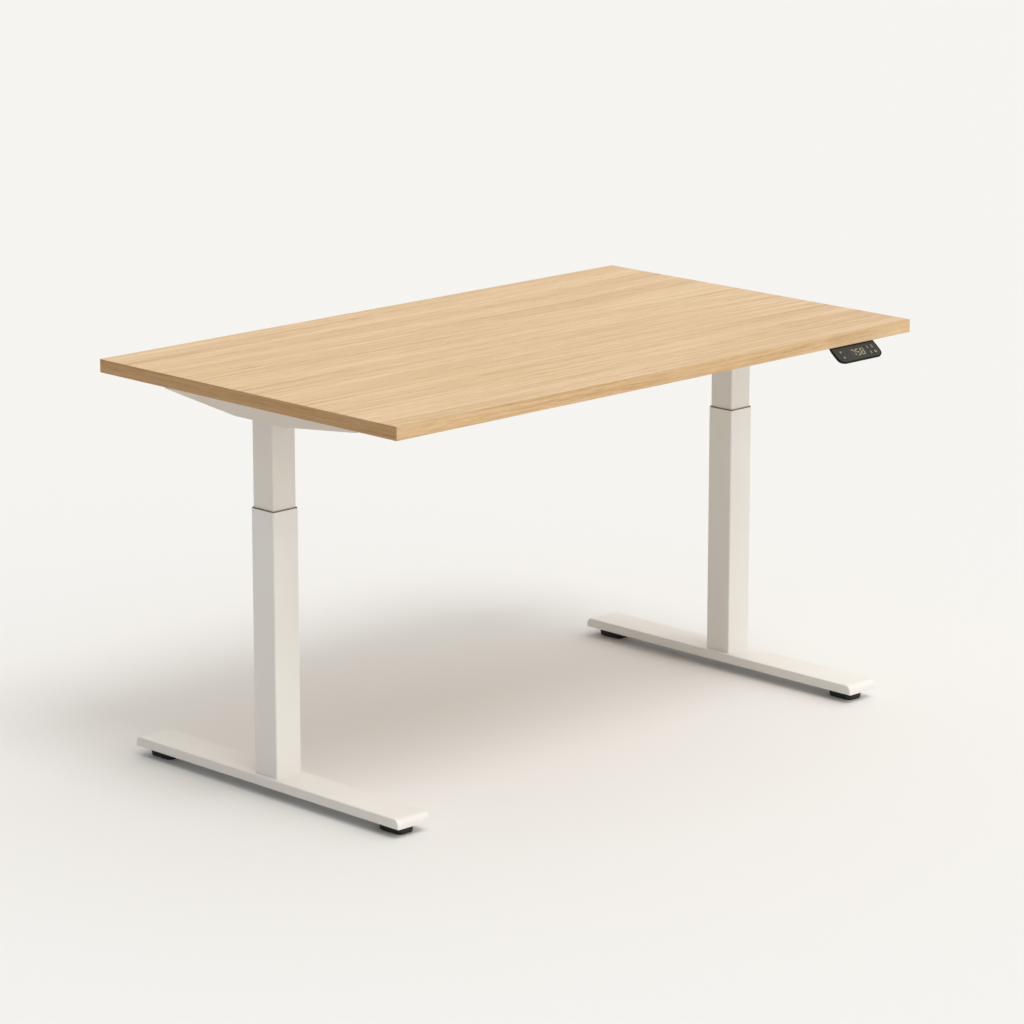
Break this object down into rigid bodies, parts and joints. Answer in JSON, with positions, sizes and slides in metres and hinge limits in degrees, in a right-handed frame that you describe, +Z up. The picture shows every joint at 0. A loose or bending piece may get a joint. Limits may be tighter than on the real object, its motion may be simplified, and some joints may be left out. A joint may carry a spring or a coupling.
{
  "type": "height adjustable standing desk",
  "caption": "Rectangular wooden worktop on telescopic square columns with flat bar feet, levelling glides, tapered side brackets, cross rails and a sloping hand control under the front edge.",
  "frame": {"origin": "middle of the whole desk's outline on the floor, the hand control's overhang included, so the worktop's own middle is 15 mm behind it", "axes": "+X to the seated user's right along the worktop's length, +Y away from the user, +Z up"},
  "size_m": [1.35, 0.83, 0.758],
  "materials": {
    "oak": "satin lacquered oak, straight grain along the width",
    "frame_paint": "fine matt powder coat, warm white",
    "bare_steel": "zinc plated",
    "motor_steel": "plain, satin",
    "nut_brass": "machined",
    "glide_rubber": "moulded black",
    "guide_plastic": "moulded, low friction",
    "box_plastic": "fine grained black",
    "board": "circuit board",
    "handset_plastic": "fine grained near black",
    "faceplate": "satin dark olive grey",
    "key_plastic": "satin dark olive grey",
    "display": "dark window",
    "screw_steel": "zinc plated"
  },
  "bodies": {
    "base": {"left_foot": "frame_paint", "right_foot": "frame_paint", "left_foot_plate": "bare_steel", "right_foot_plate": "bare_steel", "left_outer_tube": "frame_paint", "right_outer_tube": "frame_paint", "left_column_base": "bare_steel", "right_column_base": "bare_steel", "left_push_tube": "bare_steel", "right_push_tube": "bare_steel", "left_spindle_nut": "nut_brass", "right_spindle_nut": "nut_brass", "left_top_guide": "guide_plastic", "right_top_guide": "guide_plastic", "foot_screws": "screw_steel", "glide_inserts": "bare_steel"},
    "top_frame": {"desktop": "oak", "left_side_bracket": "frame_paint", "right_side_bracket": "frame_paint", "front_rail": "frame_paint", "rear_rail": "frame_paint", "left_column_head": "bare_steel", "right_column_head": "bare_steel", "left_inner_tube": "frame_paint", "right_inner_tube": "frame_paint", "left_bottom_guide": "guide_plastic", "right_bottom_guide": "guide_plastic", "left_motor": "motor_steel", "right_motor": "motor_steel", "left_gearbox": "motor_steel", "right_gearbox": "motor_steel", "left_spindle_bearing": "bare_steel", "right_spindle_bearing": "bare_steel", "bracket_screws": "screw_steel", "column_head_screws": "screw_steel", "rail_screws": "screw_steel", "control_box_plate": "bare_steel", "control_box_cover": "box_plastic", "control_board": "board", "mains_inlet": "box_plastic", "control_sockets": "box_plastic", "control_box_screws": "screw_steel", "handset_housing": "handset_plastic", "handset_faceplate": "faceplate", "handset_display": "display", "handset_board": "board", "handset_gland": "handset_plastic", "handset_screws": "screw_steel"},
    "left_spindle": {"left_spindle": "bare_steel"},
    "right_spindle": {"right_spindle": "bare_steel"},
    "front_left_glide": {"front_left_glide": "glide_rubber"},
    "front_right_glide": {"front_right_glide": "glide_rubber"},
    "rear_left_glide": {"rear_left_glide": "glide_rubber"},
    "rear_right_glide": {"rear_right_glide": "glide_rubber"},
    "key_up": {"key_up": "key_plastic"},
    "key_down": {"key_down": "key_plastic"},
    "key_preset_1": {"key_preset_1": "key_plastic"},
    "key_preset_2": {"key_preset_2": "key_plastic"},
    "key_preset_3": {"key_preset_3": "key_plastic"},
    "key_memory": {"key_memory": "key_plastic"}
  },
  "joints": [
    {"name": "lift", "type": "slide", "parent": "base", "child": "top_frame", "axis": [0, 0, 1], "range_m": [-0.13, 0.25]},
    {"name": "left_spindle_turn", "type": "hinge", "parent": "top_frame", "child": "left_spindle", "pos_m": [-0.6035, 0.015, 0.4], "axis": [0, 0, 1], "range_deg": [-5900, 11300]},
    {"name": "right_spindle_turn", "type": "hinge", "parent": "top_frame", "child": "right_spindle", "pos_m": [0.6035, 0.015, 0.4], "axis": [0, 0, 1], "range_deg": [-5900, 11300]},
    {"name": "front_left_glide_screw", "type": "slide", "parent": "base", "child": "front_left_glide", "axis": [0, 0, -1], "range_m": [0, 0.008]},
    {"name": "front_right_glide_screw", "type": "slide", "parent": "base", "child": "front_right_glide", "axis": [0, 0, -1], "range_m": [0, 0.008]},
    {"name": "rear_left_glide_screw", "type": "slide", "parent": "base", "child": "rear_left_glide", "axis": [0, 0, -1], "range_m": [0, 0.008]},
    {"name": "rear_right_glide_screw", "type": "slide", "parent": "base", "child": "rear_right_glide", "axis": [0, 0, -1], "range_m": [0, 0.008]},
    {"name": "key_up_press", "type": "slide", "parent": "top_frame", "child": "key_up", "axis": [0, 0.6252, -0.7804], "range_m": [0, 0.0006], "stiffness_N_per_m": 2500},
    {"name": "key_down_press", "type": "slide", "parent": "top_frame", "child": "key_down", "axis": [0, 0.6252, -0.7804], "range_m": [0, 0.0006], "stiffness_N_per_m": 2500},
    {"name": "key_preset_1_press", "type": "slide", "parent": "top_frame", "child": "key_preset_1", "axis": [0, 0.6252, -0.7804], "range_m": [0, 0.0006], "stiffness_N_per_m": 2500},
    {"name": "key_preset_2_press", "type": "slide", "parent": "top_frame", "child": "key_preset_2", "axis": [0, 0.6252, -0.7804], "range_m": [0, 0.0006], "stiffness_N_per_m": 2500},
    {"name": "key_preset_3_press", "type": "slide", "parent": "top_frame", "child": "key_preset_3", "axis": [0, 0.6252, -0.7804], "range_m": [0, 0.0006], "stiffness_N_per_m": 2500},
    {"name": "key_memory_press", "type": "slide", "parent": "top_frame", "child": "key_memory", "axis": [0, 0.6252, -0.7804], "range_m": [0, 0.0006], "stiffness_N_per_m": 2500}
  ],
  "couplings": [
    {"joint": "left_spindle_turn", "follows": "lift", "rad_per_m": 785.4},
    {"joint": "right_spindle_turn", "follows": "lift", "rad_per_m": 785.4}
  ]
}
